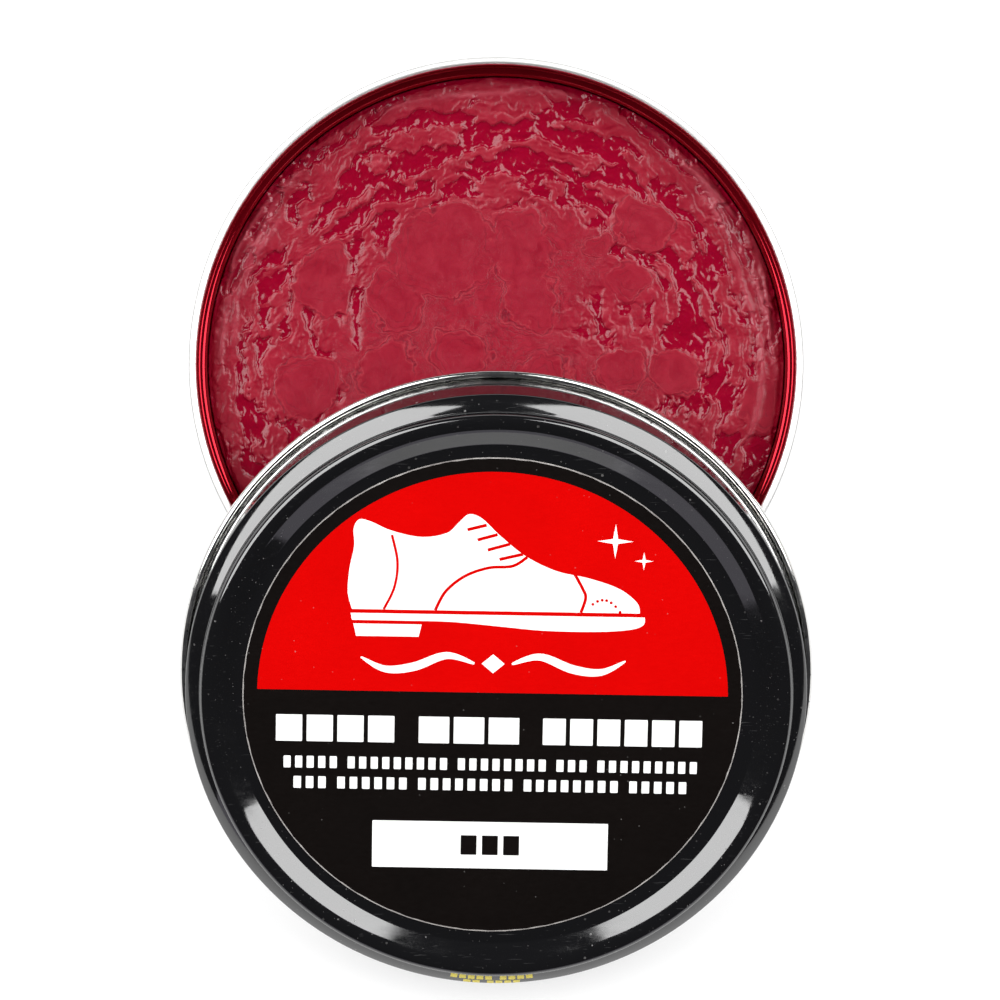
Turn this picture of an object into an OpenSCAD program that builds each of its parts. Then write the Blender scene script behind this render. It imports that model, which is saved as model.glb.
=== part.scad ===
// Round slip-lid tin of red shoe polish, 89 mm across. The open base stands on
// the table full of wax, and the lid leans on it: its near edge is on the table
// and its curled edge rests on the base rim at two points.
// Origin: the centre of the flat underside of the base. +Z is up, and +Y points
// away from the leaning lid. Sizes are in millimetres.

/* [Base] */
// Height of the base, from the table to the top of its rolled rim
base_h = 19.6; // [17:0.1:24]
// Inner radius of the collar under the rolled rim
collar_r = 41.85; // [38:0.05:46]
// Radius of the roll of the base rim, outside
rim_roll_r = 0.55; // [0.45:0.05:0.7]
// How far the wall steps in below the collar
step_in = 1.3; // [0.8:0.1:1.8]
// Radius between the wall and the bottom
base_round = 1.2; // [0.8:0.1:2.5]

/* [Wax] */
// Depth of the wax surface below the top of the rim
wax_drop = 4.7; // [4.6:0.1:9]

/* [Lid] */
// Inner radius of the lid's skirt
skirt_r = 43.13; // [43.1:0.01:43.3]
// Height of the sunk panel above the centre of the rolled edge
panel_h = 9.83; // [8.5:0.01:12]
// Radius of the flat sunk panel
panel_r = 36.45; // [34:0.05:37]
// Radius of the top of the raised ring around the panel
ring_r = 40.3; // [40.1:0.05:40.4]
// Slope of the inner side of the raised ring
slope = 30; // [26:1:34]
// Radius of the curve between that slope and the top of the ring
ring_curve = 3.2; // [2.6:0.1:4]
// Depth of the hollow beside the ring, from the ring's top to the hollow's centre
ring_drop = 1.57; // [1.4:0.01:1.8]
// Slope of the shoulder where it meets the skirt
shoulder_lean = 44; // [40:1:48]
// Radius of the rolled edge of the lid, outside
lid_roll_r = 0.65; // [0.5:0.05:0.8]
// Radius of the paper label on the panel
label_r = 34.8; // [20:0.1:35.5]
// Thickness of the paper label
label_t = 0.1; // [0.06:0.01:0.2]
// Width of the small shade label
shade_w = 33; // [20:1:36]
// Depth of the small shade label
shade_d = 6.9; // [5:0.1:9]

/* [Sheet and rest] */
// Thickness of the tinplate
sheet = 0.22; // [0.18:0.01:0.25]
// Angle at which the lid leans
lean = 17; // [14:0.5:19]
// Play between the lid and the rim and table that it rests on
play = 0.1; // [0.06:0.01:0.3]

/* [Hidden] */
$fn = 180;

// Base rim: the roll's centre, and the outer radius of the rim
rim_c = collar_r + rim_roll_r;
rim_z = base_h - rim_roll_r;
rim_r = rim_c + rim_roll_r;
// Lower wall of the base, outer radius, and the heights of the step
wall_r = collar_r + sheet - step_in;
step_z = base_h - 3.3;
half_step = step_in / 2;

// Lid, seen as it sits when the tin is shut, with z = 0 at the roll's centre
roll_c = skirt_r + lid_roll_r;
skirt_out = skirt_r + sheet;
hollow_r = 0.6;
// The inner slope runs from the hollow at the panel's edge up to the ring's curve
ring_top = panel_h + hollow_r * (1 - cos(slope)) + ring_curve * (1 - cos(slope))
    + (ring_r - panel_r - (hollow_r + ring_curve) * sin(slope)) * tan(slope);
ring_nose = 0.95;
foot_round = 0.35;
// Centre of the hollow at the foot of the ring's outer side
foot_x = ring_r + ring_nose + foot_round;
foot_z = ring_top - ring_drop;
// The shoulder is a shallow curve that starts at shoulder_in off the level
shoulder_in = 30;
shoulder_round = 0.5;
foot_end = [foot_x - foot_round * sin(shoulder_in), foot_z - foot_round * cos(shoulder_in)];
bevel_curve = (skirt_out - shoulder_round * (1 - sin(shoulder_lean)) - foot_end[0])
    / (sin(shoulder_lean) - sin(shoulder_in));
bevel_x = foot_end[0] - bevel_curve * sin(shoulder_in);
bevel_z = foot_end[1] - bevel_curve * cos(shoulder_in);
corner_z = bevel_z + (bevel_curve - shoulder_round) * cos(shoulder_lean);

// Labels
glue = 0.01;
label_off = 0.5;
label_turn = 1;
shade_y = 21.9;

// Where the lid rests. Its roll's ring of centres is a tilted circle that touches
// the table at its near edge, and passes over the rim's own ring of centres.
function lid_z() = play / 2 + lid_roll_r + roll_c * sin(lean);
function ring_gap(y) = min([for (a = [0 : 0.5 : 90])
    let (rx = roll_c * cos(a), ry = y + roll_c * sin(a) * cos(lean),
         rz = lid_z() + roll_c * sin(a) * sin(lean))
    norm([norm([rx, ry]) - rim_c, rz - rim_z])]);
function settle(lo, hi, n) = n == 0 ? hi
    : let (m = (lo + hi) / 2)
      ring_gap(-m) > rim_roll_r + lid_roll_r + play ? settle(lo, m, n - 1)
                                                    : settle(m, hi, n - 1);
lid_y = -settle(20, 70, 24);

module lid_place() {
    translate([0, lid_y, lid_z()]) rotate([lean, 0, 0]) children();
}

// One rolled edge: a ring of sheet cut open on the side of the wall
module roll(r, sheet_t, side) {
    difference() {
        circle(r);
        circle(r - sheet_t);
        polygon([[0, 0], [-2 * r, 0], [-2 * r, side * 2 * r], [-r * 0.6, side * 2 * r]]);
    }
}

// Everything inside the base's surface, moved in by o
module base_inside(o) {
    square([wall_r - base_round, 1]);
    translate([0, o]) square([wall_r - base_round, step_z - half_step - 1]);
    translate([wall_r - base_round, base_round]) circle(base_round - o);
    translate([0, base_round]) square([wall_r - o, step_z - step_in - base_round]);
}

// The base's sheet, seen in section
module base_section() {
    w = wall_r;
    // bottom, corner and lower wall
    square([w - base_round, sheet]);
    translate([w - base_round, base_round]) intersection() {
        difference() { circle(base_round); circle(base_round - sheet); }
        translate([0, -base_round]) square([base_round, base_round]);
    }
    translate([w - sheet, base_round]) square([sheet, step_z - step_in - base_round]);
    // step: a hollow curve, then a round one
    translate([w + half_step, step_z - step_in]) intersection() {
        difference() { circle(half_step + sheet); circle(half_step); }
        translate([-half_step - sheet, 0]) square([half_step + sheet, half_step + sheet]);
    }
    translate([w + half_step, step_z]) intersection() {
        difference() { circle(half_step); circle(half_step - sheet); }
        translate([0, -half_step]) square([half_step, half_step]);
    }
    // collar
    translate([collar_r, step_z]) square([sheet, rim_z - step_z]);
    translate([rim_c, rim_z]) roll(rim_roll_r, sheet, -1);
}

// Points of an arc about [x, z], from angle a to angle b
function arc(x, z, r, a, b, n = 8) = [for (k = [0 : n]) let (t = a + (b - a) * k / n) [x + r * cos(t), z + r * sin(t)]];

// The lid's upper surface from the middle out to the end of its rolled edge, moved in by o
function lid_line(o) = concat(
    [[0, panel_h - o]],
    arc(panel_r, panel_h + hollow_r, hollow_r + o, -90, -90 + slope, 6),
    arc(ring_r, ring_top - ring_curve, ring_curve - o, 90 + slope, 90, 10),
    arc(ring_r, ring_top - ring_nose, ring_nose - o, 90, 0, 10),
    arc(foot_x, foot_z, foot_round + o, 180, 270 - shoulder_in, 8),
    arc(bevel_x, bevel_z, bevel_curve - o, 90 - shoulder_in, 90 - shoulder_lean, 6),
    arc(skirt_out - shoulder_round, corner_z, shoulder_round - o, 90 - shoulder_lean, 0, 8),
    arc(roll_c, 0, lid_roll_r - sheet + o, 180, 466, 36));
function back(v) = [for (k = [len(v) - 1 : -1 : 0]) v[k]];

module lid_section() {
    polygon(concat(lid_line(0), back(lid_line(sheet))));
}

module tin_base() {
    color([0.82, 0.82, 0.8]) rotate_extrude() base_section();
}

module wax_cake() {
    r = wall_r - sheet - 0.1;
    top = base_h - wax_drop;
    color([0.68, 0.16, 0.23]) rotate_extrude() union() {
        translate([0, sheet + 0.08]) square([r - 1.2, top - sheet - 0.08]);
        translate([0, sheet + 1.28]) square([r, top - sheet - 1.28 - 0.5]);
        translate([r - 1.2, sheet + 1.28]) circle(1.2);
        translate([r - 0.5, top - 0.5]) circle(0.5);
        translate([0, top - 1]) square([r - 0.5, 1]);
    }
}

module lid_shell() {
    color([0.06, 0.06, 0.07]) lid_place() rotate_extrude() lid_section();
}

// The label is stuck on a little off centre and a degree off square
module label_place() {
    lid_place() translate([-label_off, 0, panel_h + glue]) rotate([0, 0, -label_turn]) children();
}

module lid_label() {
    color([0.85, 0.02, 0.03]) label_place() cylinder(r = label_r, h = label_t);
}

module shade_label() {
    color([0.96, 0.96, 0.95]) label_place()
        translate([-shade_w / 2, -shade_y - shade_d / 2, label_t + glue])
            cube([shade_w, shade_d, 0.06]);
}

tin_base();
wax_cake();
lid_shell();
lid_label();
shade_label();
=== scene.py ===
import math

import bpy
import numpy as np
from mathutils import Matrix, Vector, geometry


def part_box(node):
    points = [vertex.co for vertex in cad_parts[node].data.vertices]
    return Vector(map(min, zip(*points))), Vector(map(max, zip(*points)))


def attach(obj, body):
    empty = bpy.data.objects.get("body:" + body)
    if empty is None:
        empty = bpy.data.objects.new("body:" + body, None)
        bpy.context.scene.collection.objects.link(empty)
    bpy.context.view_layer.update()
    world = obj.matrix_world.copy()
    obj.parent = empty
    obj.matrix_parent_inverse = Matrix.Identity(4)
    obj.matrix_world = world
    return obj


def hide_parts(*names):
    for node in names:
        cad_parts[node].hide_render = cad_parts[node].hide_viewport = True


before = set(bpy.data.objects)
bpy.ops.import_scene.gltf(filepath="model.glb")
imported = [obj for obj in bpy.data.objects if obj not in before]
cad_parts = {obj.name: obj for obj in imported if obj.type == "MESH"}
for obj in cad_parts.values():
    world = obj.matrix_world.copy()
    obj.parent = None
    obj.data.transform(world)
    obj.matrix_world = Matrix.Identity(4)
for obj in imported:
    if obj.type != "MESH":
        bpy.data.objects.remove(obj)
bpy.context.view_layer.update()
MM = 0.001

# ---------------------------------------------------------------- the lid's own frame
# x to the right, y up the lean, z out of the panel, origin in the plane of the rolled edge's centre
LABEL_T, LABEL_MID, LABEL_OFF, LABEL_TURN = 0.1, 9.89, 0.5, math.radians(-1.0)
lo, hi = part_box("lid_label")
label_mid = (lo + hi) / 2
LEAN = math.atan2(hi.z - lo.z, hi.y - lo.y)
for _ in range(6):
    LEAN = math.atan2((hi.z - lo.z) - LABEL_T * MM * math.cos(LEAN), (hi.y - lo.y) - LABEL_T * MM * math.sin(LEAN))
LX = Vector((1, 0, 0))
LY = Vector((0, math.cos(LEAN), math.sin(LEAN)))
LZ = Vector((0, -math.sin(LEAN), math.cos(LEAN)))
LO = label_mid - LZ * LABEL_MID * MM + LX * LABEL_OFF * MM


def lid_point(x, y, z):
    return LO + (LX * x + LY * y + LZ * z) * MM


def label_point(x, y, z):
    c, s = math.cos(LABEL_TURN), math.sin(LABEL_TURN)
    return lid_point(x * c - y * s - LABEL_OFF, x * s + y * c, z)


# ---------------------------------------------------------------- noise on arrays
def _hash(ix, iy, seed):
    h = (ix.astype(np.int64) * 374761393 + iy.astype(np.int64) * 668265263 + seed * 1442695041) & 0xFFFFFFFF
    h = ((h ^ (h >> 13)) * 1274126177) & 0xFFFFFFFF
    h = ((h ^ (h >> 15)) * 2246822519) & 0xFFFFFFFF
    return (h ^ (h >> 16)) / 4294967296.0


def gnoise(x, y, seed=0, wrap=0):
    """Gradient noise, about -1 to 1. With wrap, it repeats along y."""
    ix, iy = np.floor(x), np.floor(y)
    fx, fy = x - ix, y - iy
    ux, uy = fx * fx * fx * (fx * (fx * 6 - 15) + 10), fy * fy * fy * (fy * (fy * 6 - 15) + 10)

    def corner(dx, dy):
        jy = iy + dy
        if wrap:
            jy = np.mod(jy, wrap)
        a = _hash(ix + dx, jy, seed) * 2 * math.pi
        return np.cos(a) * (fx - dx) + np.sin(a) * (fy - dy)

    a = corner(0, 0) * (1 - ux) + corner(1, 0) * ux
    b = corner(0, 1) * (1 - ux) + corner(1, 1) * ux
    return (a * (1 - uy) + b * uy) * 1.5


def fbm(x, y, seed=0, octaves=4, gain=0.5, wrap=0):
    total, amp, norm = 0, 1.0, 0.0
    for k in range(octaves):
        total = total + amp * gnoise(x * 2**k, y * 2**k, seed + 17 * k, wrap * 2**k)
        norm += amp
        amp *= gain
    return total / norm


def smooth(a, b, v):
    t = np.clip((v - a) / (b - a), 0, 1)
    return t * t * (3 - 2 * t)


def bell(v, width):
    return np.exp(-((v / width) ** 2))


# ---------------------------------------------------------------- mesh helpers
def mesh_object(name, verts, faces, materials, index=None, smooth_shade=False):
    me = bpy.data.meshes.new(name)
    me.from_pydata(verts, [], faces)
    for m in materials:
        me.materials.append(m)
    if index is not None:
        me.polygons.foreach_set("material_index", index)
    me.polygons.foreach_set("use_smooth", [smooth_shade] * len(me.polygons))
    me.update()
    ob = bpy.data.objects.new(name, me)
    bpy.context.scene.collection.objects.link(ob)
    return ob


def arc(cx, cz, r, a, b, n):
    """Points of an arc in section, from angle a to angle b in degrees."""
    return [(cx + r * math.cos(math.radians(a + (b - a) * k / n)), cz + r * math.sin(math.radians(a + (b - a) * k / n))) for k in range(n + 1)]


def supported(line):
    """The same line, with extra points close to both ends of each long straight stretch, which keep the shading flat there."""
    out = [line[0]]
    for a, b in zip(line[:-1], line[1:]):
        d = math.hypot(b[0] - a[0], b[1] - a[1])
        if d > 0.4:
            for t in (0.05 / d, 0.5, 1 - 0.05 / d):
                out.append((a[0] + (b[0] - a[0]) * t, a[1] + (b[1] - a[1]) * t))
        if d > 1e-6:
            out.append(b)
    return out


def revolved(name, line, place, materials, n=288):
    """A closed skin: line starts and ends on the axis, as (radius, height) pairs in mm."""
    line = supported(line)
    pts, faces = [place(0, 0, line[0][1])], []
    for r, z in line[1:-1]:
        pts += [place(r * math.cos(2 * math.pi * k / n), r * math.sin(2 * math.pi * k / n), z) for k in range(n)]
    pts.append(place(0, 0, line[-1][1]))
    last, rings = len(pts) - 1, len(line) - 2
    for k in range(n):
        j = (k + 1) % n
        faces.append([0, 1 + k, 1 + j])
        for i in range(rings - 1):
            a, b = 1 + i * n, 1 + (i + 1) * n
            faces.append([a + k, b + k, b + j, a + j])
        a = 1 + (rings - 1) * n
        faces.append([a + k, last, a + j])
    faces = [f[::-1] for f in faces]
    ob = mesh_object(name, pts, faces, materials, smooth_shade=True)
    ob.data.set_sharp_from_angle(angle=math.radians(50))
    return ob


# ---------------------------------------------------------------- node helpers
class Tree:
    def __init__(self, name):
        self.m = bpy.data.materials.new(name)
        self.m.use_nodes = True
        self.nt = self.m.node_tree
        self.nt.nodes.clear()
        self.out = self.nt.nodes.new("ShaderNodeOutputMaterial")
        self.bsdf = self.nt.nodes.new("ShaderNodeBsdfPrincipled")
        self.nt.links.new(self.bsdf.outputs[0], self.out.inputs["Surface"])

    def put(self, socket, value):
        if hasattr(value, "is_output"):
            self.nt.links.new(value, socket)
        elif isinstance(value, (tuple, list)) and len(value) == 3 and socket.type == "RGBA":
            socket.default_value = (*value, 1.0)
        else:
            socket.default_value = value

    def set(self, **kw):
        for k, v in kw.items():
            self.put(self.bsdf.inputs[k.replace("_", " ")], v)

    def node(self, kind, **props):
        n = self.nt.nodes.new(kind)
        for k, v in props.items():
            setattr(n, k, v)
        return n

    def coord(self):
        return self.node("ShaderNodeTexCoord").outputs["Object"]

    def normal(self):
        return self.node("ShaderNodeTexCoord").outputs["Normal"]

    def vmath(self, op, a, b=None, scale=None):
        n = self.node("ShaderNodeVectorMath", operation=op)
        self.put(n.inputs[0], a)
        if b is not None:
            self.put(n.inputs[1], b)
        if scale is not None:
            self.put(n.inputs["Scale"], scale)
        return n.outputs["Value"] if op in ("DOT_PRODUCT", "LENGTH") else n.outputs["Vector"]

    def math(self, op, a, b=None, c=None, clamp=False):
        n = self.node("ShaderNodeMath", operation=op, use_clamp=clamp)
        self.put(n.inputs[0], a)
        if b is not None:
            self.put(n.inputs[1], b)
        if c is not None:
            self.put(n.inputs[2], c)
        return n.outputs[0]

    def range(self, v, a, b, c=0.0, d=1.0, kind="LINEAR"):
        n = self.node("ShaderNodeMapRange", interpolation_type=kind)
        for s, x in zip(("Value", "From Min", "From Max", "To Min", "To Max"), (v, a, b, c, d)):
            self.put(n.inputs[s], x)
        return n.outputs[0]

    def noise(self, vec, scale, detail=3.0, rough=0.5, distortion=0.0):
        n = self.node("ShaderNodeTexNoise")
        self.put(n.inputs["Vector"], vec)
        for s, x in (("Scale", scale), ("Detail", detail), ("Roughness", rough), ("Distortion", distortion)):
            self.put(n.inputs[s], x)
        return n.outputs[0]

    def voronoi(self, vec, scale, feature="F1", randomness=1.0):
        n = self.node("ShaderNodeTexVoronoi", feature=feature)
        self.put(n.inputs["Vector"], vec)
        self.put(n.inputs["Scale"], scale)
        self.put(n.inputs["Randomness"], randomness)
        return n

    def mix(self, f, a, b):
        n = self.node("ShaderNodeMix", data_type="RGBA")
        self.put(n.inputs[0], f)
        self.put(n.inputs[6], a)
        self.put(n.inputs[7], b)
        return n.outputs[2]

    def mixf(self, f, a, b):
        n = self.node("ShaderNodeMix", data_type="FLOAT")
        self.put(n.inputs[0], f)
        self.put(n.inputs[2], a)
        self.put(n.inputs[3], b)
        return n.outputs[0]

    def combine(self, x, y, z):
        n = self.node("ShaderNodeCombineXYZ")
        for k, v in enumerate((x, y, z)):
            self.put(n.inputs[k], v)
        return n.outputs[0]

    def split(self, v):
        n = self.node("ShaderNodeSeparateXYZ")
        self.put(n.inputs[0], v)
        return n.outputs

    def attribute(self, name):
        return self.node("ShaderNodeAttribute", attribute_name=name).outputs["Fac"]

    def bump(self, height, strength, distance):
        n = self.node("ShaderNodeBump")
        self.put(n.inputs["Height"], height)
        self.put(n.inputs["Strength"], strength)
        self.put(n.inputs["Distance"], distance)
        self.nt.links.new(n.outputs[0], self.bsdf.inputs["Normal"])

    def specks(self, vec, scale, size):
        """Small round specks, 1 inside and 0 outside, of uneven size."""
        v = self.voronoi(vec, scale)
        hue = self.split(v.outputs["Color"])
        keep = self.math("LESS_THAN", hue[0], 0.35)
        limit = self.math("MULTIPLY", hue[1], size)
        return self.math("MULTIPLY", self.math("LESS_THAN", v.outputs["Distance"], limit), keep)


# ---------------------------------------------------------------- materials
def tinplate_material():
    t = Tree("tinplate")
    p = t.coord()
    band = t.noise(t.vmath("MULTIPLY", p, (60.0, 60.0, 2600.0)), 1.0, 4.0, 0.6)
    cloud = t.noise(p, 170.0, 3.0, 0.55)
    fine = t.noise(p, 2600.0, 2.0, 0.5)
    x, y, z = t.split(p)
    r = t.math("SQRT", t.math("ADD", t.math("MULTIPLY", x, x), t.math("MULTIPLY", y, y)))
    rim = t.math("MULTIPLY", t.range(z, 0.0180, 0.0190), t.range(r, 0.04188, 0.04205))
    # a thin film of wax on the wall inside, just above the wax
    level = t.math("ADD", z, t.math("MULTIPLY", t.math("SUBTRACT", cloud, 0.5), 0.0006))
    film = t.math("MULTIPLY", t.range(level, 0.01905, 0.01880), t.math("LESS_THAN", r, 0.0420))
    film = t.math("MULTIPLY", film, t.math("GREATER_THAN", z, 0.0010))
    inward = t.vmath("DOT_PRODUCT", t.normal(), t.vmath("SCALE", t.combine(x, y, -0.02), scale=-1.0))
    film = t.math("MULTIPLY", film, t.math("GREATER_THAN", inward, 0.0))
    metal = t.mix(cloud, (0.86, 0.855, 0.84), (0.93, 0.925, 0.91))
    smooth_rough = t.range(t.math("ADD", t.math("MULTIPLY", band, 0.5), t.math("MULTIPLY", cloud, 0.5)), 0.25, 0.75, 0.05, 0.15)
    side = t.vmath("DOT_PRODUCT", t.normal(), t.vmath("NORMALIZE", t.combine(x, y, 0.0)))
    # the drawn wall below the rim is greyer, with faint draw lines round it
    wall = t.mix(t.range(band, 0.35, 0.65), (0.36, 0.36, 0.355), (0.50, 0.50, 0.49))
    wall = t.mix(t.math("MULTIPLY", t.range(cloud, 0.40, 0.65), 0.30), wall, (0.30, 0.30, 0.295))
    metal = t.mix(t.range(z, 0.01815, 0.01865), wall, metal)
    # painted shade: metal whose surface faces sideways and outward is darkened towards dark grey
    metal = t.mix(t.math("MULTIPLY", t.range(side, 0.72, 0.94), 0.90), metal, (0.26, 0.26, 0.255))
    stain = t.mix(cloud, (0.24, 0.0003, 0.006), (0.32, 0.0006, 0.012))
    t.set(Metallic=t.math("SUBTRACT", 1.0, t.math("MULTIPLY", film, 0.25)), Base_Color=t.mix(film, metal, stain),
          Roughness=t.mixf(rim, smooth_rough, 0.48))
    t.bump(t.math("ADD", band, t.math("MULTIPLY", fine, 0.4)), 0.06, 0.00004)
    return t.m


def lacquer_material():
    """Gloss black lacquer on tinplate, bare at the rolled edge and inside."""
    t = Tree("black_lacquer")
    p = t.coord()
    q = t.vmath("SUBTRACT", p, tuple(LO))
    zl = t.vmath("DOT_PRODUCT", q, tuple(LZ))
    xl = t.vmath("DOT_PRODUCT", q, tuple(LX))
    yl = t.vmath("DOT_PRODUCT", q, tuple(LY))
    rl = t.math("SQRT", t.math("ADD", t.math("MULTIPLY", xl, xl), t.math("MULTIPLY", yl, yl)))
    nrm = t.normal()
    up = t.vmath("DOT_PRODUCT", nrm, tuple(LZ))
    outward = t.math("DIVIDE", t.math("ADD", t.math("MULTIPLY", t.vmath("DOT_PRODUCT", nrm, tuple(LX)), xl),
                                      t.math("MULTIPLY", t.vmath("DOT_PRODUCT", nrm, tuple(LY)), yl)), rl)
    outside = t.math("GREATER_THAN", t.math("ADD", t.math("MULTIPLY", up, 10.0), outward), 0.0)
    edge = t.noise(p, 900.0, 3.0, 0.6)
    high = t.range(t.math("ADD", zl, t.math("MULTIPLY", t.math("SUBTRACT", edge, 0.5), 0.0004)), BARE_TO * MM - 0.00006, BARE_TO * MM + 0.00006)
    coated = t.math("MULTIPLY", outside, high)
    # dust, wiping marks and hair-fine scratches in the lacquer
    dust = t.math("MAXIMUM", t.specks(p, 900.0, 0.17), t.math("MULTIPLY", t.specks(p, 2100.0, 0.2), 0.7))
    patch = t.range(t.noise(p, 130.0, 3.0, 0.6), 0.45, 0.7)
    dust = t.math("MULTIPLY", dust, t.math("ADD", t.math("MULTIPLY", patch, 0.8), 0.2))
    turn = t.vmath("ADD", t.vmath("SCALE", q, scale=1.0), (0.0, 0.0, 0.0))
    wipe = t.noise(t.vmath("MULTIPLY", turn, (120.0, 900.0, 900.0)), 1.0, 3.0, 0.6, 0.4)
    scratch = t.range(t.noise(t.vmath("MULTIPLY", t.vmath("ADD", q, (0.01, 0.02, 0.0)), (260.0, 5200.0, 5200.0)), 1.0, 1.0, 0.5, 0.2), 0.71, 0.76)
    smear = t.noise(p, 70.0, 4.0, 0.6, 0.6)
    black = t.mix(dust, (0.0035, 0.0035, 0.004), (0.17, 0.165, 0.16))
    black = t.mix(t.math("MULTIPLY", scratch, 0.25), black, (0.09, 0.09, 0.09))
    lac_rough = t.math("ADD", t.range(wipe, 0.3, 0.7, 0.035, 0.10), t.math("MULTIPLY", t.range(smear, 0.5, 0.7), 0.06))
    lac_rough = t.math("ADD", lac_rough, t.math("MULTIPLY", dust, 0.4))
    bare_cloud = t.noise(p, 500.0, 3.0, 0.6)
    metal = t.mix(bare_cloud, (0.60, 0.595, 0.58), (0.82, 0.815, 0.80))
    metal = t.mix(t.math("MULTIPLY", t.specks(p, 1500.0, 0.3), outside), metal, (0.08, 0.08, 0.08))
    t.set(Base_Color=t.mix(coated, metal, black), Metallic=t.math("SUBTRACT", 1.0, coated),
          Roughness=t.mixf(coated, t.range(bare_cloud, 0.3, 0.7, 0.07, 0.2), lac_rough), IOR=1.8)
    orange = t.noise(p, 420.0, 2.0, 0.5)
    t.bump(t.math("ADD", t.math("MULTIPLY", orange, 0.5), t.math("ADD", t.math("MULTIPLY", wipe, 0.25), t.math("MULTIPLY", dust, 0.8))), 0.10, 0.00006)
    return t.m


def paper_material(name, ink, ink2, rough, gloss):
    t = Tree(name)
    p = t.coord()
    q = t.vmath("SUBTRACT", p, tuple(LO))
    fibre = t.noise(t.vmath("MULTIPLY", q, (900.0, 2600.0, 2600.0)), 1.0, 4.0, 0.65, 0.5)
    cloud = t.noise(p, 90.0, 4.0, 0.6)
    grain = t.noise(p, 4200.0, 2.0, 0.6)
    dust = t.math("MULTIPLY", t.specks(p, 1100.0, 0.13), t.range(cloud, 0.45, 0.65))
    colour = t.mix(t.range(t.math("ADD", t.math("MULTIPLY", fibre, 0.5), t.math("MULTIPLY", cloud, 0.5)), 0.35, 0.65), ink, ink2)
    colour = t.mix(t.math("MULTIPLY", dust, 0.35), colour, (0.30, 0.29, 0.28))
    t.set(Base_Color=colour, Roughness=t.range(t.math("ADD", t.math("MULTIPLY", grain, 0.4), t.math("MULTIPLY", fibre, 0.6)), 0.3, 0.7, rough - 0.05, rough + 0.06),
          IOR=gloss)
    t.bump(t.math("ADD", fibre, t.math("MULTIPLY", grain, 0.5)), 0.12, 0.00003)
    return t.m


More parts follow.
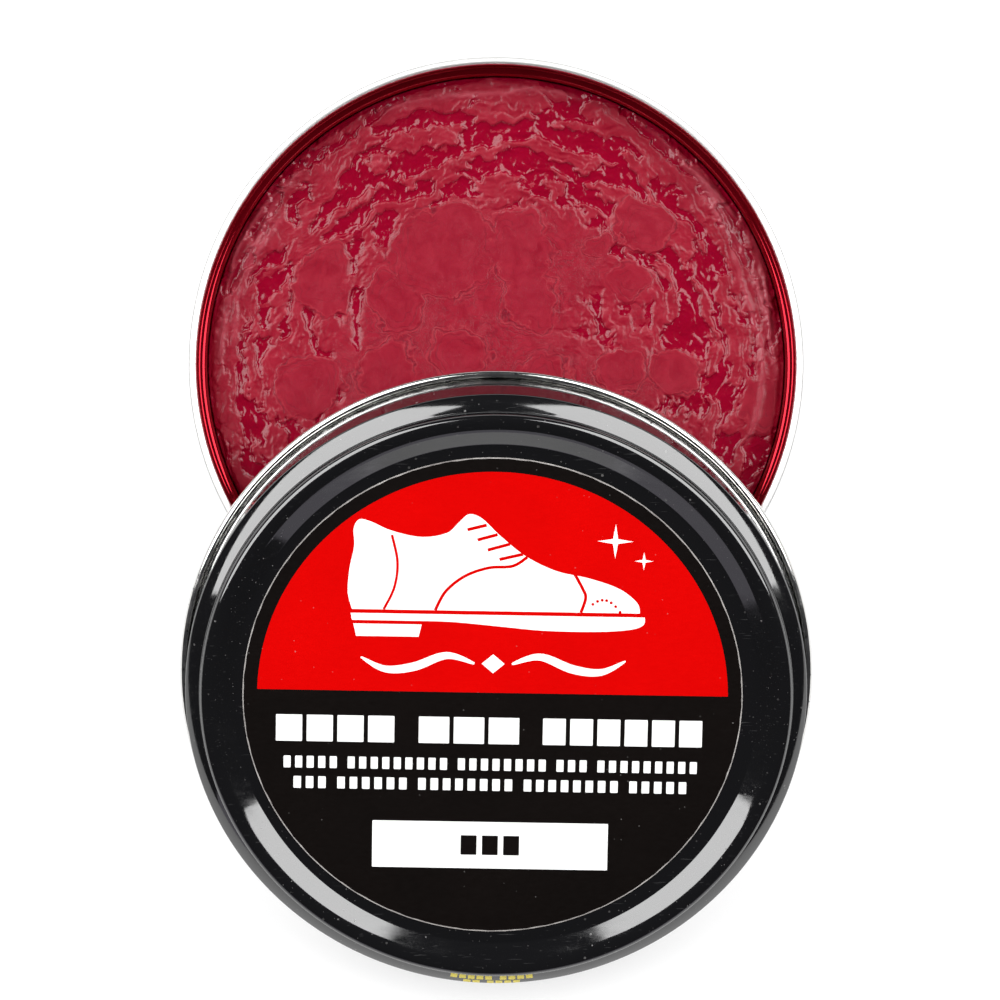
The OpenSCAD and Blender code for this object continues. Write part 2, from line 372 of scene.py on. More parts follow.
def wax_material():
    t = Tree("red_wax")
    p = t.coord()
    skin, second, near, flow, painted_highlight, calm = (t.attribute(k) for k in ("skin", "second", "near", "flow", "painted_highlight", "calm"))
    cloud = t.noise(p, 110.0, 4.0, 0.6, 0.4)
    mottle = t.noise(p, 480.0, 4.0, 0.65, 0.8)
    fine = t.noise(p, 1500.0, 3.0, 0.6, 0.4)
    grain = t.noise(p, 2900.0, 3.0, 0.6)
    shake = t.math("SUBTRACT", fine, 0.5)

    def line(v, at, width):
        return t.range(t.math("ABSOLUTE", t.math("SUBTRACT", v, at)), 0.0, width, 1.0, 0.0)

    # the dull skin over the wet wax, and a painted highlight along its torn edge
    skin = t.math("ADD", skin, t.math("MULTIPLY", shake, 0.05))
    crust = t.range(skin, -0.010, 0.012)
    lip = t.math("MULTIPLY", t.math("MULTIPLY", line(skin, 0.016, 0.016), t.range(mottle, 0.42, 0.60)), t.math("SUBTRACT", 1.0, calm, clamp=True))
    second = t.math("ADD", second, t.math("MULTIPLY", shake, 0.05))
    lip2 = t.math("MULTIPLY", line(second, 0.0, 0.014), crust)
    # flow lines as in agate: round the pools and between them
    gate = t.range(t.noise(p, 260.0, 2.0, 0.5), 0.32, 0.52)
    gate2 = t.range(t.noise(t.vmath("ADD", p, (0.3, 0.1, 0.2)), 310.0, 2.0, 0.5), 0.42, 0.60)
    drift = t.math("SUBTRACT", t.noise(p, 330.0, 3.0, 0.6, 0.6), 0.5)
    edge = t.math("ADD", near, t.math("ADD", t.math("MULTIPLY", shake, 0.30), t.math("MULTIPLY", drift, 2.2)))
    ring = t.math("MULTIPLY", line(edge, 0.0, 0.13), gate)
    ring = t.math("MAXIMUM", ring, t.math("MULTIPLY", line(edge, 0.55, 0.10), gate2))
    wave = t.math("FRACT", t.math("ADD", t.math("MULTIPLY", near, 1.15), t.math("MULTIPLY", cloud, 3.0)))
    rings = t.math("MULTIPLY", t.math("MULTIPLY", line(wave, 0.5, 0.16), t.range(t.math("ABSOLUTE", near), 1.2, 3.4, 1.0, 0.0)), gate2)
    veins = line(t.math("FRACT", t.math("ADD", t.math("MULTIPLY", flow, 15.0), t.math("MULTIPLY", shake, 0.25))), 0.5, 0.085)
    veins = t.math("MULTIPLY", t.math("MULTIPLY", veins, gate), t.range(near, -0.6, 0.6, 0.25, 1.0))
    swirl = t.math("MAXIMUM", t.math("MAXIMUM", ring, t.math("MULTIPLY", rings, 0.6)), t.math("MULTIPLY", veins, 0.8))
    swirl = t.math("MULTIPLY", swirl, calm)
    halo = t.math("MULTIPLY", t.math("MAXIMUM", line(edge, 0.28, 0.14), line(edge, -0.30, 0.12)), t.math("MULTIPLY", gate, calm))

    deep = t.mix(cloud, (0.150, 0.0003, 0.008), (0.200, 0.0005, 0.014))
    matt = t.mix(t.range(mottle, 0.3, 0.7), (0.166, 0.0006, 0.0095), (0.223, 0.0030, 0.0152))
    matt = t.mix(t.math("MULTIPLY", t.range(cloud, 0.35, 0.65), 0.25), matt, (0.225, 0.006, 0.018))
    colour = t.mix(crust, deep, matt)
    colour = t.mix(t.math("MULTIPLY", t.range(near, 0.3, -2.6), t.math("MULTIPLY", calm, t.range(cloud, 0.35, 0.65, 0.0, 0.30))), colour, (0.165, 0.001, 0.012))
    colour = t.mix(t.math("MULTIPLY", swirl, 0.80), colour, (0.095, 0.0008, 0.008))
    colour = t.mix(t.math("MULTIPLY", halo, 0.30), colour, (0.34, 0.035, 0.045))
    colour = t.mix(t.math("MULTIPLY", lip2, 0.45), colour, (0.11, 0.001, 0.010))
    # painted highlight: a light pink line along the torn edge of the skin
    colour = t.mix(t.math("MULTIPLY", lip, 0.26), colour, (0.40, 0.06, 0.08))
    # painted highlight: light pink sheen on the curled plate edges and the creases along the rim
    colour = t.mix(t.math("MULTIPLY", painted_highlight, 0.45), colour, (0.40, 0.075, 0.10))
    rough = t.math("ADD", t.mixf(crust, 0.12, 0.34), t.range(mottle, 0.3, 0.7, -0.03, 0.06))
    t.set(Base_Color=colour, Roughness=rough, IOR=1.37, Subsurface_Weight=0.06, Subsurface_Radius=(1.0, 0.18, 0.12), Subsurface_Scale=0.0006)
    height = t.math("ADD", t.math("MULTIPLY", mottle, 0.7), t.math("MULTIPLY", grain, 0.35))
    height = t.math("SUBTRACT", height, t.math("MULTIPLY", swirl, 0.9))
    height = t.math("ADD", height, t.math("ADD", t.math("MULTIPLY", halo, 0.4), t.math("MULTIPLY", crust, 0.6)))
    t.bump(height, 0.26, 0.00008)
    return t.m


def floor_material():
    t = Tree("studio_white")
    p = t.coord()
    n = t.noise(p, 3.0, 2.0, 0.5)
    t.set(Base_Color=t.mix(n, (0.38, 0.38, 0.38), (0.40, 0.40, 0.40)), Roughness=0.9, IOR=1.2,
          Emission_Color=(1.0, 1.0, 1.0), Emission_Strength=FLOOR_GLOW)
    return t.m


BARE_TO = 2.6
FLOOR_GLOW = 0.6

tinplate = tinplate_material()
lacquer = lacquer_material()
paper_black = paper_material("label_black", (0.0022, 0.0013, 0.0010), (0.0032, 0.0019, 0.0015), 0.42, 1.24)
paper_red = paper_material("label_red", (0.485, 0.0003, 0.0002), (0.535, 0.0005, 0.0003), 0.46, 1.12)
paper_white = paper_material("label_white", (0.84, 0.84, 0.83), (0.88, 0.88, 0.87), 0.5, 1.4)
paper_edge = paper_material("label_paper_edge", (0.16, 0.145, 0.14), (0.42, 0.40, 0.38), 0.6, 1.4)
print_yellow = paper_material("marking_yellow", (0.86, 0.70, 0.06), (0.90, 0.76, 0.09), 0.35, 1.5)
wax_red = wax_material()

# ---------------------------------------------------------------- the two pressings
SHEET = 0.22
COLLAR_R, RIM_ROLL, BASE_H, STEP_IN, BASE_ROUND = 41.85, 0.55, 19.6, 1.3, 1.2
WALL_R, STEP_Z, HALF = COLLAR_R + SHEET - STEP_IN, BASE_H - 3.3, STEP_IN / 2
base_lo, base_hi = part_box("tin_base")


def base_line(o):
    """The base's outer surface from the middle of the bottom to the end of its rolled rim, moved in by o."""
    return ([(0, o)] + arc(WALL_R - BASE_ROUND, BASE_ROUND, BASE_ROUND - o, -90, 0, 10)
            + arc(WALL_R + HALF, STEP_Z - STEP_IN, HALF + o, 180, 90, 12) + arc(WALL_R + HALF, STEP_Z, HALF - o, -90, 0, 12)
            + arc(COLLAR_R + RIM_ROLL, BASE_H - RIM_ROLL, RIM_ROLL - SHEET + o, 180, -106, 36))


def base_point(x, y, z):
    return Vector((x * MM, y * MM, base_lo.z + z * MM))


SKIRT_OUT, PANEL_H, PANEL_R, RING_R, SLOPE, RING_CURVE, HOLLOW = 43.35, 9.83, 36.45, 40.3, 30.0, 3.2, 0.6
RING_TOP = PANEL_H + (HOLLOW + RING_CURVE) * (1 - math.cos(math.radians(SLOPE))) + (RING_R - PANEL_R - (HOLLOW + RING_CURVE) * math.sin(math.radians(SLOPE))) * math.tan(math.radians(SLOPE))
NOSE, FOOT, RING_DROP, SH_IN, SH_LEAN, SH_ROUND = 0.95, 0.35, 1.57, 30.0, 44.0, 0.5
FOOT_X, FOOT_Z = RING_R + NOSE + FOOT, RING_TOP - RING_DROP
FOOT_END = (FOOT_X - FOOT * math.sin(math.radians(SH_IN)), FOOT_Z - FOOT * math.cos(math.radians(SH_IN)))
BEVEL = (SKIRT_OUT - SH_ROUND * (1 - math.sin(math.radians(SH_LEAN))) - FOOT_END[0]) / (math.sin(math.radians(SH_LEAN)) - math.sin(math.radians(SH_IN)))
BEVEL_X, BEVEL_Z = FOOT_END[0] - BEVEL * math.sin(math.radians(SH_IN)), FOOT_END[1] - BEVEL * math.cos(math.radians(SH_IN))
CORNER_Z = BEVEL_Z + (BEVEL - SH_ROUND) * math.cos(math.radians(SH_LEAN))
LID_ROLL, ROLL_C = 0.65, 43.78


def lid_line(o):
    """The lid's upper surface from the middle out to the end of its rolled edge, moved in by o."""
    return ([(0, PANEL_H - o)] + arc(PANEL_R, PANEL_H + HOLLOW, HOLLOW + o, -90, -90 + SLOPE, 10)
            + arc(RING_R, RING_TOP - RING_CURVE, RING_CURVE - o, 90 + SLOPE, 90, 16) + arc(RING_R, RING_TOP - NOSE, NOSE - o, 90, 0, 16)
            + arc(FOOT_X, FOOT_Z, FOOT + o, 180, 270 - SH_IN, 10) + arc(BEVEL_X, BEVEL_Z, BEVEL - o, 90 - SH_IN, 90 - SH_LEAN, 8)
            + arc(SKIRT_OUT - SH_ROUND, CORNER_Z, SH_ROUND - o, 90 - SH_LEAN, 0, 10) + arc(ROLL_C, 0, LID_ROLL - SHEET + o, 180, 466, 40))


pressed_base = revolved("pressed_base", base_line(0) + base_line(SHEET)[::-1], base_point, [tinplate])
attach(pressed_base, "base")
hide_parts("tin_base")
pressed_lid = revolved("pressed_lid", lid_line(SHEET) + lid_line(0)[::-1], lid_point, [lacquer], 320)
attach(pressed_lid, "lid")
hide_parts("lid_shell")

# ---------------------------------------------------------------- wax
WAX_R = 40.42
wax_lo, wax_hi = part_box("wax_cake")
WAX_TOP, WAX_LOW = wax_hi.z / MM, wax_lo.z / MM

# smooth pools where the wax set last: centre x, y, half width, half depth, turn
POOLS = [
    (-7.3, 16.1, 7.4, 6.7, 0.2), (-23.9, 11.6, 4.2, 5.3, 0.1), (21.0, 19.6, 4.3, 3.4, -0.2),
    (14.4, 17.1, 2.8, 1.8, 0.35), (18.6, 11.5, 2.8, 2.9, 0.0), (1.8, 16.4, 2.8, 5.3, 0.2),
    (4.0, 15.4, 3.5, 6.3, -0.1), (5.0, 8.8, 4.1, 3.7, 0.0), (-26.6, -3.0, 5.3, 4.2, 0.3),
    (-15.6, -0.3, 4.2, 4.2, 0.0), (25.1, -0.9, 3.5, 3.2, 0.0), (17.4, -0.8, 3.5, 3.3, 0.0),
    (36.9, -5.6, 2.4, 4.2, 0.0), (-5.0, 2.0, 4.6, 4.0, 0.3), (-14.0, 9.0, 3.6, 4.4, 0.0),
    (6.0, -2.5, 4.2, 3.6, 0.5), (-8.0, -9.0, 5.0, 4.4, 0.9), (9.0, -13.0, 4.8, 3.8, 0.2),
    (-20.0, -16.0, 4.4, 3.6, -0.4), (23.0, -12.0, 3.8, 4.6, 0.1), (0.0, -24.0, 5.4, 3.6, 0.0),
]


def wax_surface(x, y):
    """Height over the lowest wax in mm, and the crust, swirl and painted highlight shares."""
    r = np.hypot(x, y)
    th = np.arctan2(y, x) / (2 * math.pi)
    w1 = fbm(x / 7.0, y / 7.0, 3, 3)
    w2 = fbm(x / 7.0 + 31, y / 7.0 + 9, 5, 3)
    w3 = fbm(x / 1.9, y / 1.9, 8, 3)
    w4 = fbm(x / 1.9 + 7, y / 1.9 + 3, 9, 3)
    w5 = fbm(x / 0.8 + 2, y / 0.8 + 5, 12, 2)
    # where the skin is broken and dragged round by the pour, and where it is smooth
    broken = smooth(20.0, 25.0, r + 3.4 * w1 + 1.6 * w3)
    patch = bell(np.hypot((x - 15.2) / 1.2, (y - 6.2)), 4.4)
    recess = bell(np.hypot((x - 29.5) / 1.0, (y - 13.0) / 1.5), 5.0)
    top = bell(th - 0.27, 0.10) * smooth(22, 25, r) * smooth(37, 33, r)
    trench = bell(x + 19.2 + 1.4 * w2 + 0.6 * w3 + 0.05 * (y - 6), 0.9) * smooth(-2, 3, y) * smooth(22, 17, y)
    broken = np.clip(broken + 1.1 * patch + 0.8 * trench, 0, 1)

    pool = np.zeros_like(x)
    ring = np.zeros_like(x)
    inner = np.zeros_like(x)
    near = np.full_like(x, 6.0)
    for k, (cx, cy, ax, ay, a) in enumerate(POOLS):
        dx, dy = x - cx + 1.8 * w1 + 0.85 * w3, y - cy + 1.8 * w2 + 0.85 * w4
        u = (dx * math.cos(a) + dy * math.sin(a)) / ax
        v = (-dx * math.sin(a) + dy * math.cos(a)) / ay
        d = np.hypot(u, v)
        size = math.sqrt(ax * ay)
        cover = smooth(1.0 + 0.35 / size, 1.0 - 0.05 / size, d)
        new = cover * (1 - pool)
        gap = (d - 1.0) * size
        edge = (bell(gap, 0.11) + 0.5 * bell(gap + 0.45 + 0.2 * w3, 0.08) + 0.35 * bell(gap + 1.0 + 0.3 * w1, 0.07)
                + 0.6 * bell(gap - 0.45, 0.09)) * np.clip(0.6 + 1.3 * fbm(x / 2.4 + k, y / 2.4, 90 + k, 2), 0, 1)
        ring = ring * (1 - cover) + edge * (1 - pool)
        near = np.minimum(near, gap)
        inner = inner * (1 - cover) + new * smooth(0.0, 1.0, d)
        pool = np.maximum(pool, cover)
    broken = np.maximum(broken * (1 - pool), 0.85 * trench)

    # torn plates of skin, drawn out along the rim
    wr = r + 2.0 * w2 + 0.70 * w3 + 0.12 * w5
    wt = th * 26 + 0.55 * w1 + 0.20 * w4 + 0.03 * w5
    f1 = fbm(wr / 2.5, wt, 21, 3, 0.50, 26)
    f2 = fbm(wr / 1.7 + 5, th * 36 + 0.6 * w2 + 0.2 * w3, 41, 3, 0.50, 36)
    f3 = fbm(x / 1.3 + 0.9 * w3, y / 1.3 + 0.9 * w4, 51, 4, 0.55)
    bias = 0.068 + 0.13 * w1 - 0.20 * top - 0.22 * recess - 0.05 * patch
    a1 = f1 + bias + 0.03 * f3 + 0.07 * smooth(34.5, 37.5, r)
    a2 = f2 - 0.10 + 0.03 * f3
    a3 = 0.8 * f3 + 0.6 * f2 - 0.24
    plate = smooth(-0.075, 0.075, a1)
    plate2 = smooth(-0.075, 0.075, a2) * plate
    shard = smooth(-0.08, 0.08, a3) * (1 - plate)
    lip = np.clip(0.35 + 1.6 * w4, 0, 1)
    curl = bell(a1 - 0.040, 0.045) * plate * lip
    curl2 = bell(a2 - 0.040, 0.04) * plate * lip
    deep = smooth(0.0, -0.35, a1)
    blobs = gnoise(x / 1.25 + 0.5 * w3, y / 1.25 + 0.5 * w4, 61)
    blobs2 = gnoise(x / 2.6 + 0.4 * w3, y / 2.6, 63)
    folds = 1 - np.abs(fbm(wr / 1.1, th * 40 + 0.35 * w1, 71, 3, 0.5, 40)) * 2.2
    folds2 = 1 - np.abs(fbm(wr / 0.6 + 3, th * 60 + 0.5 * w1, 75, 2, 0.5, 60)) * 2.4
    rough_z = (0.20 * plate + 0.09 * plate2 + 0.03 * shard + 0.012 * curl + 0.010 * curl2 - 0.10 * deep
               + (1 - plate) * (0.025 * blobs + 0.20 * blobs2) + patch * 0.16 * blobs
               + 0.012 * f3 + 0.070 * np.clip(folds, 0, 1) ** 3 + 0.010 * np.clip(folds2, 0, 1) ** 3
               + 0.10 * blobs2 * plate)
    # the smooth middle: fine flow lines round the pools, as in agate
    flow = fbm(x / 6.0 + 1.0 * w1, y / 6.0 + 1.0 * w2, 81, 5, 0.56)
    gate = np.clip(0.35 + 1.8 * fbm(x / 3.0, y / 3.0, 87, 3), 0, 1)
    lines = bell(np.abs(np.mod(flow * 13.0, 1.0) - 0.5), 0.06) * gate
    flat_z = 0.27 + 0.06 * w1 + 0.020 * flow + 0.010 * f3 - 0.012 * lines
    z = rough_z * broken + flat_z * (1 - broken)
    z = z + pool * (0.012 - 0.03 * (1 - inner)) - 0.020 * ring
    # the trench between pools
    z = z - 0.12 * trench
    # long creases along the rim at the left and right
    crease = np.zeros_like(x)
    for r0, win_a, win_b, h, wdt, ph in ((38.3, 0.375, 0.52, 0.30, 0.50, 0.0), (36.9, 0.39, 0.50, 0.20, 0.40, 1.7), (39.3, 0.36, 0.49, 0.20, 0.30, 3.1),
                                         (38.5, 0.0, 0.160, 0.30, 0.55, 0.9), (37.1, -0.06, 0.125, 0.20, 0.42, 2.2), (39.4, -0.02, 0.175, 0.18, 0.30, 4.0),
                                         (37.5, -0.42, -0.10, 0.20, 0.4, 1.1), (38.6, 0.19, 0.33, 0.14, 0.35, 2.6)):
        along = smooth(win_a, win_a + 0.03, th) * smooth(win_b, win_b - 0.03, th)
        wob = 0.50 * np.sin(th * 55 + ph) + 0.30 * w3 + 0.5 * w1
        one = along * bell(r - r0 - wob, wdt) * np.clip(0.75 + 0.9 * fbm(th * 46, r / 9.0, 95, 2), 0.15, 1.3)
        z = z + h * one
        crease = np.maximum(crease, one)
    # ragged edge against the tin
    edge = smooth(39.45 + 0.50 * w3 + 0.25 * blobs, 40.3, r)
    z = z - 0.30 * edge
    skin = np.maximum(a1, 0.6 * a3 - 0.07) * broken + 0.22 * (1 - broken) - 0.45 * edge - 0.20 * trench
    second = a2 * broken - 0.3 * (1 - broken)
    # painted highlight: the curled plate edges and the rim creases are lightened in colour, standing in for the sheen
    # of the lights on them
    painted_highlight = np.clip((curl * 0.25 + curl2 * 0.20) * broken + 1.0 * crease, 0, 1)
    return z, {"skin": skin, "second": second, "near": near, "flow": flow, "painted_highlight": painted_highlight, "calm": (1 - broken) * (1 - edge)}


def make_wax():
    n = 470
    a = np.linspace(-1, 1, n)
    u, v = np.meshgrid(a, a, indexing="ij")
    big = np.abs(u) >= np.abs(v)
    with np.errstate(divide="ignore", invalid="ignore"):
        rad = np.where(big, u, v)
        ang = np.where(big, (math.pi / 4) * (v / u), math.pi / 2 - (math.pi / 4) * (u / v))
    ang = np.nan_to_num(ang)
    x, y = WAX_R * rad * np.cos(ang), WAX_R * rad * np.sin(ang)
    z, fields = wax_surface(x, y)
    top = WAX_TOP - 0.02 - 0.80 + z * 0.98
    top = np.minimum(top, WAX_TOP - 0.01)
    pts = np.stack([x, y, top], -1).reshape(-1, 3)
    idx = np.arange(n * n).reshape(n, n)
    quads = np.stack([idx[:-1, :-1], idx[1:, :-1], idx[1:, 1:], idx[:-1, 1:]], -1).reshape(-1, 4)
    loop = np.concatenate([idx[:-1, 0], idx[-1, :-1], idx[:0:-1, -1], idx[0, :0:-1]])
    rows, base = [loop], len(pts)
    extra = []
    for scale, zz in ((1.0, 12.0), (1.0, WAX_LOW + 1.4), (0.9905, WAX_LOW + 0.45), (0.970, WAX_LOW)):
        ring = pts[loop].copy()
        ring[:, :2] *= scale
        ring[:, 2] = zz
        rows.append(np.arange(len(loop)) + base)
        base += len(loop)
        extra.append(ring)
    extra.append(np.array([[0, 0, WAX_LOW]]))
    pts = np.concatenate([pts, *extra])
    faces = quads.tolist()
    m = len(loop)
    for up, dn in zip(rows[:-1], rows[1:]):
        for k in range(m):
            j = (k + 1) % m
            faces.append([int(up[k]), int(dn[k]), int(dn[j]), int(up[j])])
    for k in range(m):
        faces.append([int(rows[-1][(k + 1) % m]), int(rows[-1][k]), len(pts) - 1])
    ob = mesh_object("wax_surface", (pts * MM).tolist(), faces, [wax_red], smooth_shade=True)
    for name, field in fields.items():
        at = ob.data.attributes.new(name, "FLOAT", "POINT")
        at.data.foreach_set("value", np.concatenate([field.ravel(), np.zeros(len(pts) - n * n)]).astype(np.float32))
    return ob


wax = make_wax()
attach(wax, "base")
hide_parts("wax_cake")


# ---------------------------------------------------------------- label artwork
def circle(r, n, cx=0.0, cy=0.0):
    return [(cx + r * math.cos(2 * math.pi * k / n), cy + r * math.sin(2 * math.pi * k / n)) for k in range(n)]


def curve(points, steps=8, closed=True):
    """A smooth line through points. A point with a third value is a corner."""
    out, n = [], len(points)
    for k in range(n if closed else n - 1):
        p0, p1, p2, p3 = (points[(k + j - 1) % n] if closed else points[min(max(k + j - 1, 0), n - 1)] for j in range(4))
        m1 = (0, 0) if len(p1) > 2 else ((p2[0] - p0[0]) / 2, (p2[1] - p0[1]) / 2)
        m2 = (0, 0) if len(p2) > 2 else ((p3[0] - p1[0]) / 2, (p3[1] - p1[1]) / 2)
        for s in range(steps):
            t = s / steps
            a, b, c, d = 2 * t**3 - 3 * t**2 + 1, t**3 - 2 * t**2 + t, -2 * t**3 + 3 * t**2, t**3 - t**2
            out.append((a * p1[0] + b * m1[0] + c * p2[0] + d * m2[0], a * p1[1] + b * m1[1] + c * p2[1] + d * m2[1]))
    if not closed:
        out.append(tuple(points[-1][:2]))
    return out


def stroke(line, w0, w1=None, mid=None):
    """A band round a line, w0 wide at the start, mid in the middle and w1 at the end."""
    w1 = w0 if w1 is None else w1
    mid = (w0 + w1) / 2 if mid is None else mid
    left, right = [], []
    for k, p in enumerate(line):
        a, b = line[max(k - 1, 0)], line[min(k + 1, len(line) - 1)]
        dx, dy = b[0] - a[0], b[1] - a[1]
        d = math.hypot(dx, dy) or 1.0
        t = k / (len(line) - 1)
        w = (w0 * (1 - t) + w1 * t + 4 * t * (1 - t) * (mid - (w0 + w1) / 2)) / 2
        left.append((p[0] - dy / d * w, p[1] + dx / d * w))
        right.append((p[0] + dy / d * w, p[1] - dx / d * w))
    return left + right[::-1]


def block(x0, y0, x1, y1, r=0.12):
    pts = []
    for cx, cy, a in ((x1 - r, y1 - r, 0), (x0 + r, y1 - r, 90), (x0 + r, y0 + r, 180), (x1 - r, y0 + r, 270)):
        for s in range(3):
            b = math.radians(a + 45 * s)
            pts.append((cx + r * math.cos(b), cy + r * math.sin(b)))
    return pts


def inside(pt, poly):
    x, y = pt
    hit, j = False, len(poly) - 1
    for i in range(len(poly)):
        xi, yi = poly[i]
        xj, yj = poly[j]
        if (yi > y) != (yj > y) and x < (xj - xi) * (y - yi) / (yj - yi) + xi:
            hit = not hit
        j = i
    return hit


def printed(name, outline, shapes, materials, place, z0, z1, side_index):
    """A closed sheet from z0 to z1 whose top is divided along the shapes' outlines.
    shapes is a list of (outline, material index), and a later one lies over an earlier one."""
    verts, edges = [], []
    for poly in [outline] + [s[0] for s in shapes]:
        b = len(verts)
        verts += [Vector(p[:2]) for p in poly]
        edges += [(b + k, b + (k + 1) % len(poly)) for k in range(len(poly))]
    v2, _, tris, *_ = geometry.delaunay_2d_cdt(verts, edges, [], 0, 1e-5)
    boxes = [(min(p[0] for p in s), min(p[1] for p in s), max(p[0] for p in s), max(p[1] for p in s)) for s, _ in shapes]
    faces, index = [], []
    for f in tris:
        c = (sum(v2[k][0] for k in f) / 3, sum(v2[k][1] for k in f) / 3)
        if not inside(c, outline):
            continue
        m = 0
        for (s, mi), bx in zip(shapes, boxes):
            if bx[0] <= c[0] <= bx[2] and bx[1] <= c[1] <= bx[3] and inside(c, s):
                m = mi
        a, b, d = (v2[k] for k in f)
        if (b[0] - a[0]) * (d[1] - a[1]) - (b[1] - a[1]) * (d[0] - a[0]) < 0:
            f = f[::-1]
        faces.append(list(f))
        index.append(m)
    n = len(v2)
    pts = [place(p[0], p[1], z1) for p in v2]
    # sides and underside from the outer edges of the top
    count = {}
    for f in faces:
        for k in range(3):
            e = (f[k], f[(k + 1) % 3])
            count[e] = count.get(e, 0) + 1
    rim = {a: b for (a, b) in count if (b, a) not in count}
    start = next(iter(rim))
    loop, k = [start], rim[start]
    while k != start:
        loop.append(k)
        k = rim[k]
    for k in loop:
        pts.append(place(v2[k][0], v2[k][1], z0))
    m = len(loop)
    for k in range(m):
        j = (k + 1) % m
        faces.append([loop[k], n + k, n + j, loop[j]])
        index.append(side_index)
    faces.append([n + k for k in range(m)][::-1])
    index.append(side_index)
    return mesh_object(name, pts, faces, materials, index)


BLACK, RED, WHITE, EDGE = 0, 1, 2, 3
shapes = []
R_LABEL = 34.8
# a thin cut edge of bare paper, a little uneven
shapes.append((circle(R_LABEL - 0.002, 240), EDGE))
shapes.append(([( (R_LABEL - 0.15 + 0.05 * math.sin(k * 1.7) * math.sin(k * 0.31)) * math.cos(2 * math.pi * k / 240),
                  (R_LABEL - 0.15 + 0.05 * math.sin(k * 1.7) * math.sin(k * 0.31)) * math.sin(2 * math.pi * k / 240)) for k in range(240)], BLACK))
# red half disc
DOME_R, CHORD = 32.75, 0.65
a0 = math.asin(CHORD / DOME_R)
shapes.append(([(DOME_R * math.cos(a0 + (math.pi - 2 * a0) * k / 120), DOME_R * math.sin(a0 + (math.pi - 2 * a0) * k / 120)) for k in range(121)], RED))


def shoe(points):
    return [((px - 20.2) * 1.02, 9.6 + py * 1.03) for px, py in points]


C = 1
upper = [(0.9, 2.9, C), (0.3, 5.2), (0.5, 8.6), (1.1, 11.8), (1.0, 14.2), (1.7, 15.5), (3.2, 15.3), (6.2, 14.0), (10.2, 13.2), (13.6, 13.8),
         (15.3, 15.4), (16.6, 16.5), (18.4, 15.9), (20.8, 13.6), (24.4, 10.7), (28.6, 8.7), (33.2, 7.7), (37.2, 6.3), (39.6, 4.4), (40.0, 2.9, C)]
sole = [(0.7, 2.35, C), (40.7, 2.35, C), (40.5, 1.25), (38.6, 0.55), (34.0, 0.2), (27.0, 0.25), (21.0, 0.75), (15.0, 1.25), (11.0, 1.35, C), (0.9, 1.35, C)]
heel = [(1.1, 0.85, C), (10.4, 0.85, C), (10.0, -0.9, C), (1.5, -0.9, C)]
for s in (upper, sole, heel):
    shapes.append((shoe(curve(s, 6)), WHITE))
for s, w in (([(32.0, 2.9), (32.6, 5.0), (32.1, 6.4), (31.0, 8.4)], 0.42), ([(12.2, 2.9), (13.6, 5.6), (16.2, 7.8), (19.4, 9.0), (22.6, 9.3), (24.6, 10.6)], 0.42),
             ([(5.2, 2.9), (6.6, 6.0), (7.0, 9.6), (6.2, 13.4)], 0.36),
             ([(16.4, 14.3), (19.0, 15.0)], 0.45), ([(17.8, 12.9), (20.5, 13.7)], 0.45), ([(19.2, 11.5), (22.2, 12.4)], 0.45), ([(20.8, 10.2), (24.0, 11.0)], 0.45)):
    line = curve(s, 8, closed=False)
    shapes.append((shoe(stroke(line, w)), RED))
for k in range(7):
    shapes.append((circle(0.22, 10, *shoe([(33.6 + 0.62 * k, 4.1 + 0.16 * k * (3.4 - 0.75 * k))])[0]), RED))
# a plain four-point gleam over the toe
gleam = []
for k in range(8):
    rr = 2.5 if k % 2 == 0 else 0.5
    gleam.append((16.6 + rr * math.cos(math.pi * k / 4), 23.0 + rr * math.sin(math.pi * k / 4)))
shapes.append((gleam, WHITE))
gleam2 = [(20.6 + (1.3 if k % 2 == 0 else 0.3) * math.cos(math.pi * k / 4), 20.2 + (1.3 if k % 2 == 0 else 0.3) * math.sin(math.pi * k / 4)) for k in range(8)]
shapes.append((gleam2, WHITE))
# a plain swelled rule under it, with a lozenge
for side in (-1, 1):
    line = curve([(side * 2.6, 4.9), (side * 6.5, 6.0), (side * 11.0, 4.3), (side * 15.0, 3.9), (side * 18.4, 5.6)], 10, closed=False)
    shapes.append((stroke(line, 0.3, 0.2, 1.25), WHITE))
shapes.append(([(1.6, 4.9), (0.0, 6.3), (-1.6, 4.9), (0.0, 3.5)], WHITE))


def blocks(x0, x1, y, h, words, gap, space):
    """A row of plain blocks in place of a line of writing, between x0 and x1."""
    n = sum(words)
    w = (x1 - x0 - space * (len(words) - 1) - gap * (n - len(words))) / n
    x, out = x0, []
    for k, word in enumerate(words):
        for _ in range(word):
            out.append(block(x, y - h / 2, x + w, y + h / 2, min(0.1, w / 4)))
            x += w + gap
        x += space - gap
    return out


for b in blocks(-30.1, -13.6, -4.95, 3.9, [4], 0.62, 0):
    shapes.append((b, WHITE))
for b in blocks(-10.2, 3.8, -4.95, 3.9, [3], 0.62, 0):
    shapes.append((b, WHITE))
for b in blocks(7.1, 29.3, -4.95, 3.9, [6], 0.62, 0):
    shapes.append((b, WHITE))
for b in blocks(-29.0, 28.7, -9.95, 1.75, [5, 9, 8, 3, 9], 0.62, 1.5):
    shapes.append((b, WHITE))
for b in blocks(-27.6, 27.3, -12.95, 1.75, [3, 6, 8, 8, 5], 0.66, 1.6):
    shapes.append((b, WHITE))

label = printed("paper_label", circle(R_LABEL, 240), shapes, [paper_black, paper_red, paper_white, paper_edge],
                label_point, LABEL_MID - LABEL_T / 2, LABEL_MID + LABEL_T / 2, EDGE)
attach(label, "lid")
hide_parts("lid_label")

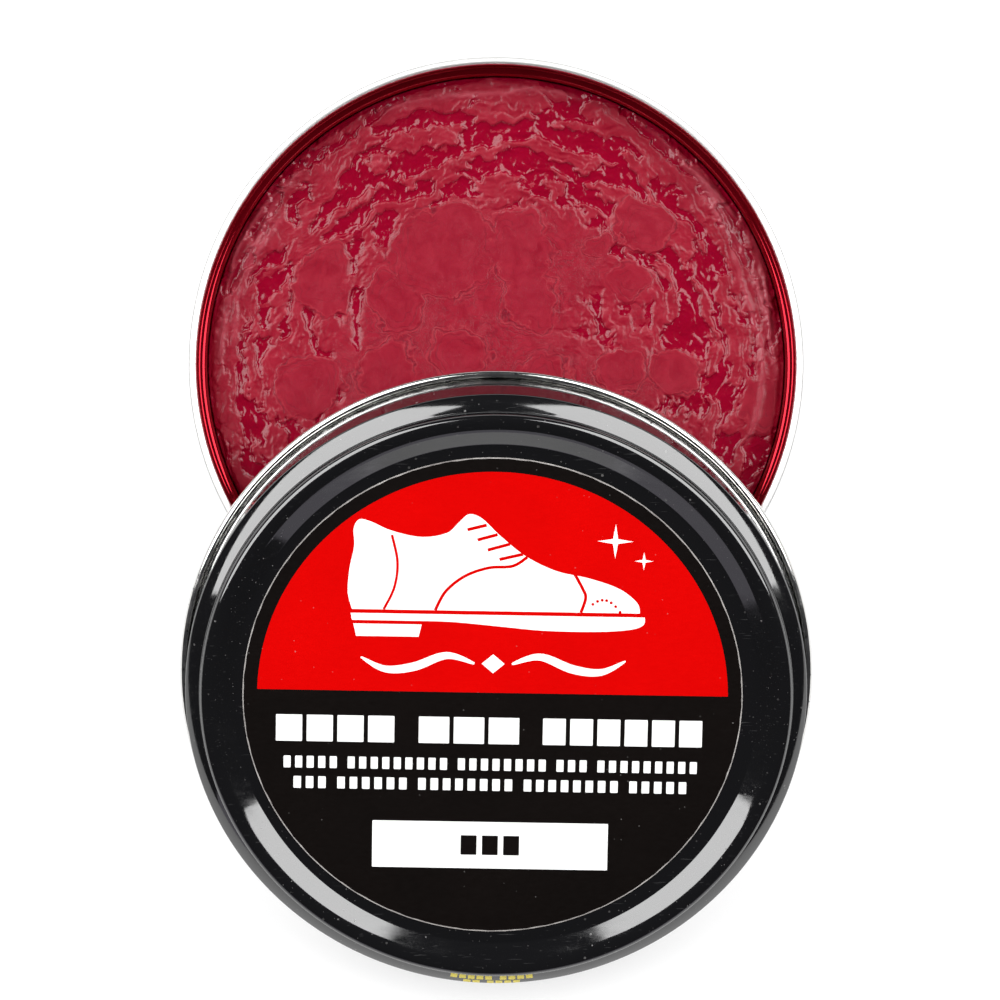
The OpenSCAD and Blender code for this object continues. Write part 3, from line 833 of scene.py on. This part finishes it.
# shade label: white, with three plain dark blocks
SH_Y, SH_W, SH_D = -21.9, 33.0, 6.9
sh = [(b, 1) for b in blocks(-4.1, 4.1, SH_Y, 2.9, [3], 0.75, 0)]
shade = printed("shade_sticker", block(-SH_W / 2, SH_Y - SH_D / 2, SH_W / 2, SH_Y + SH_D / 2, 0.1), sh, [paper_white, paper_black],
                label_point, LABEL_MID + LABEL_T / 2 + 0.01, LABEL_MID + LABEL_T / 2 + 0.07, 0)
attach(shade, "lid")
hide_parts("shade_label")


# ---------------------------------------------------------------- yellow marking on the near shoulder
def shoulder(r):
    """Height and outward normal (out, up) of the lid's shoulder at radius r."""
    if r <= BEVEL_X + BEVEL * math.sin(math.radians(SH_LEAN)):
        q = (r - BEVEL_X) / BEVEL
        return BEVEL_Z + BEVEL * math.sqrt(1 - q * q), (q, math.sqrt(1 - q * q))
    q = min((r - SKIRT_OUT + SH_ROUND) / SH_ROUND, 0.99)
    return CORNER_Z + SH_ROUND * math.sqrt(1 - q * q), (q, math.sqrt(1 - q * q))


def mark_patch(x0, x1, r0, r1, verts, faces):
    """A thin raised patch of ink that follows the shoulder at the lid's near side."""
    nx, nr, b = max(2, int((x1 - x0) / 0.5)), 8, len(verts)
    for lift in (0.014, 0.002):
        for i in range(nx + 1):
            for j in range(nr + 1):
                x, r = x0 + (x1 - x0) * i / nx, r0 + (r1 - r0) * j / nr
                z, (no, nu) = shoulder(r)
                a = -math.pi / 2 + x / 42.4
                rr = r + no * lift
                verts.append(lid_point(rr * math.cos(a), rr * math.sin(a), z + nu * lift))
    w, half = nr + 1, (nx + 1) * (nr + 1)
    for i in range(nx):
        for j in range(nr):
            p = b + i * w + j
            faces.append([p, p + 1, p + w + 1, p + w])
            q = p + half
            faces.append([q, q + w, q + w + 1, q + 1])
    border = [i * w for i in range(nx + 1)] + [nx * w + j for j in range(1, nr + 1)] + [i * w + nr for i in range(nx - 1, -1, -1)] + [j for j in range(nr - 1, 0, -1)]
    for k in range(len(border)):
        p, q = b + border[k], b + border[(k + 1) % len(border)]
        faces.append([p, p + half, q + half, q])


mv, mf = [], []
for x0, x1, count in ((-6.5, -0.6, 5), (0.5, 5.2, 4)):
    w = (x1 - x0 + 0.28) / count
    for k in range(count):
        mark_patch(x0 + w * k, x0 + w * (k + 1) - 0.28, 41.75, 42.50, mv, mf)
for x0, x1, count in ((-4.6, -2.3, 2), (-1.3, 3.3, 4)):
    w = (x1 - x0 + 0.28) / count
    for k in range(count):
        mark_patch(x0 + w * k, x0 + w * (k + 1) - 0.28, 42.70, 43.28, mv, mf)
marking = mesh_object("edge_marking", mv, mf, [print_yellow])
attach(marking, "lid")

# ---------------------------------------------------------------- floor, light and camera
floor = mesh_object("floor", [(-6, -6, -0.00004), (6, -6, -0.00004), (6, 6, -0.00004), (-6, 6, -0.00004)], [(0, 1, 2, 3)], [floor_material()])

world = bpy.data.worlds.new("studio")
bpy.context.scene.world = world
world.use_nodes = True
wn = world.node_tree
wn.nodes.clear()
w_out = wn.nodes.new("ShaderNodeOutputWorld")
w_mix = wn.nodes.new("ShaderNodeMixShader")
w_dim = wn.nodes.new("ShaderNodeBackground")
w_lit = wn.nodes.new("ShaderNodeBackground")
w_path = wn.nodes.new("ShaderNodeLightPath")
w_dim.inputs[0].default_value = (0.042, 0.042, 0.045, 1)
w_lit.inputs[0].default_value = (0.62, 0.62, 0.62, 1)
wn.links.new(w_path.outputs["Is Camera Ray"], w_mix.inputs[0])
wn.links.new(w_dim.outputs[0], w_mix.inputs[1])
wn.links.new(w_lit.outputs[0], w_mix.inputs[2])
wn.links.new(w_mix.outputs[0], w_out.inputs[0])

AIM = Vector((0.0, -0.02, 0.01))


def softbox(name, azimuth, zenith, distance, width, height, radiance, colour=(1, 1, 1)):
    """A rectangular soft light. azimuth turns from +X to +Y, and zenith is the angle off the vertical."""
    a, z = math.radians(azimuth), math.radians(zenith)
    way = Vector((math.sin(z) * math.cos(a), math.sin(z) * math.sin(a), math.cos(z)))
    data = bpy.data.lights.new(name, "AREA")
    data.shape = "RECTANGLE"
    data.size, data.size_y = width, height
    data.energy = radiance * math.pi * width * height
    data.color = colour
    ob = bpy.data.objects.new(name, data)
    ob.location = AIM + way * distance
    ob.rotation_mode = "QUATERNION"
    ob.rotation_quaternion = way.to_track_quat("Z", "Y")
    bpy.context.scene.collection.objects.link(ob)
    ob.visible_camera = False
    return ob


softbox("softbox_right", 28, 45, 1.3, 1.55, 0.90, 6.6)
softbox("softbox_left", 154, 45, 1.3, 1.55, 0.90, 6.6)
softbox("front_card", -98, 82, 1.45, 2.5, 0.42, 0.62, (0.92, 0.88, 1.0))

cam_data = bpy.data.cameras.new("camera")
cam_data.sensor_width = 36
cam_data.lens = 36 * 6303 / 1000
cam_data.clip_start, cam_data.clip_end = 0.05, 20
cam = bpy.data.objects.new("camera", cam_data)
cam.location = (0.00054, -0.01897, 0.900)
bpy.context.scene.collection.objects.link(cam)
bpy.context.scene.camera = cam
bpy.context.scene.view_settings.view_transform = "Standard"
